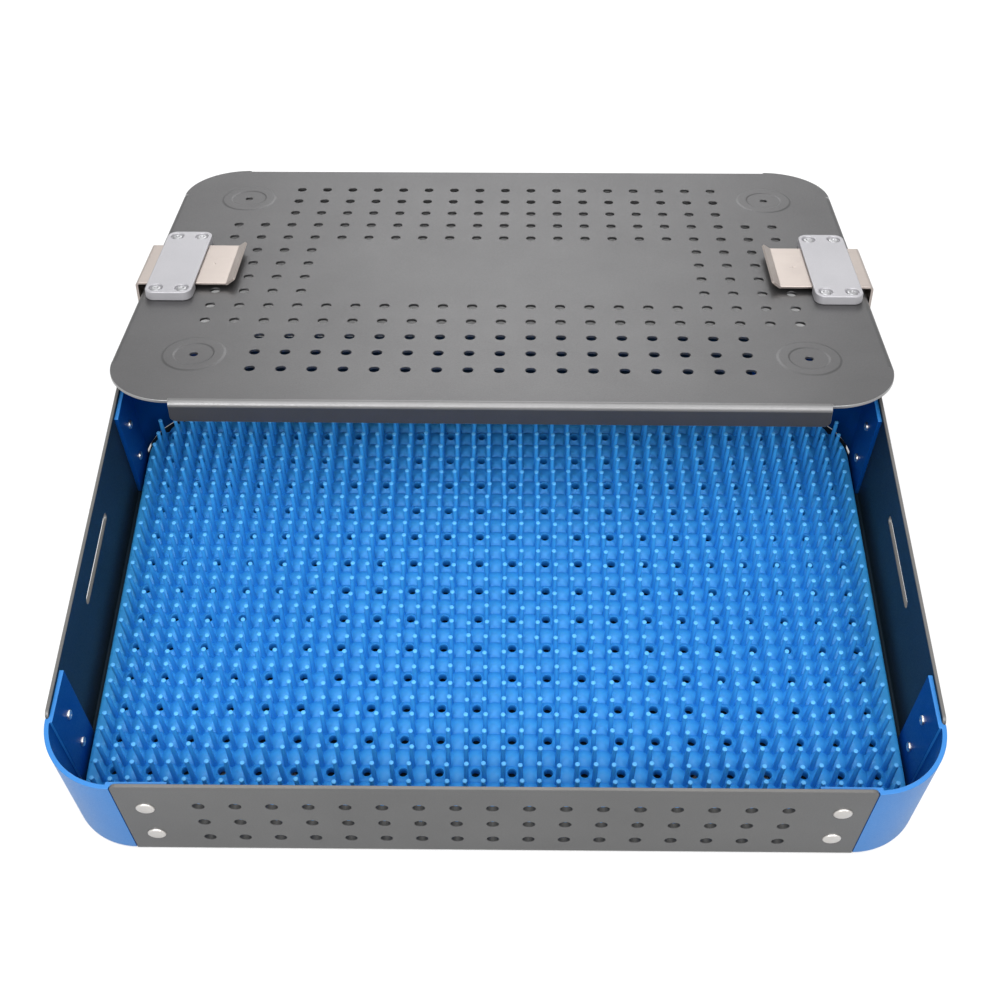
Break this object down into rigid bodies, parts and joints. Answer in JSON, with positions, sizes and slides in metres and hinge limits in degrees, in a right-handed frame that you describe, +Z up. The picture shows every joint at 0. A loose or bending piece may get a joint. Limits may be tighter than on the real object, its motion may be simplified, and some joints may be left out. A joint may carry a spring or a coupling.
{
  "type": "sterilization container",
  "caption": "Shallow perforated aluminium instrument tray with round blue corners, a blue finger mat and a flat perforated lid with sliding side latches leaning on its rear wall.",
  "frame": {"origin": "middle of the tray's underside, on the surface that it stands on", "axes": "+Z up, +X to the right along the tray's length, -Y to the front wall, lid leaning on the rear wall at +Y"},
  "size_m": [0.3848, 0.4328, 0.0803],
  "materials": {
    "tray_sheet": "anodised, satin grey",
    "lid_sheet": "anodised, satin grey",
    "corner_blue": "anodised, satin blue",
    "rivet": "plain, satin",
    "silicone": "matt silicone, blue",
    "latch_block": "bead-blasted, clear anodised",
    "screw": "stainless, satin",
    "latch_plate": "stainless, brushed"
  },
  "bodies": {
    "tray": {"tray_shell": "tray_sheet", "corner_front_left": "corner_blue", "corner_front_right": "corner_blue", "corner_rear_left": "corner_blue", "corner_rear_right": "corner_blue", "rivets_front_wall_left": "rivet", "rivets_front_wall_right": "rivet", "rivets_rear_wall_left": "rivet", "rivets_rear_wall_right": "rivet", "rivets_left_wall_front": "rivet", "rivets_left_wall_rear": "rivet", "rivets_right_wall_front": "rivet", "rivets_right_wall_rear": "rivet"},
    "mat": {"finger_mat": "silicone"},
    "lid": {"lid_sheet": "lid_sheet", "latch_block_left": "latch_block", "latch_block_right": "latch_block", "latch_screws_left": "screw", "latch_screws_right": "screw"},
    "latch_left": {"latch_plate_left": "latch_plate"},
    "latch_right": {"latch_plate_right": "latch_plate"}
  },
  "joints": [
    {"name": "mat_lift", "type": "slide", "parent": "tray", "child": "mat", "axis": [0, 0, 1], "range_m": [0, 0.03]},
    {"name": "lid_lift", "type": "slide", "parent": "tray", "child": "lid", "axis": [0, 0, 1], "range_m": [0, 0.12]},
    {"name": "latch_left_slide", "type": "slide", "parent": "lid", "child": "latch_left", "axis": [0.9999, -0.0104, 0.0029], "range_m": [-0.016, 0.0017]},
    {"name": "latch_right_slide", "type": "slide", "parent": "lid", "child": "latch_right", "axis": [-0.9999, 0.0104, -0.0029], "range_m": [-0.016, 0.0017]}
  ]
}
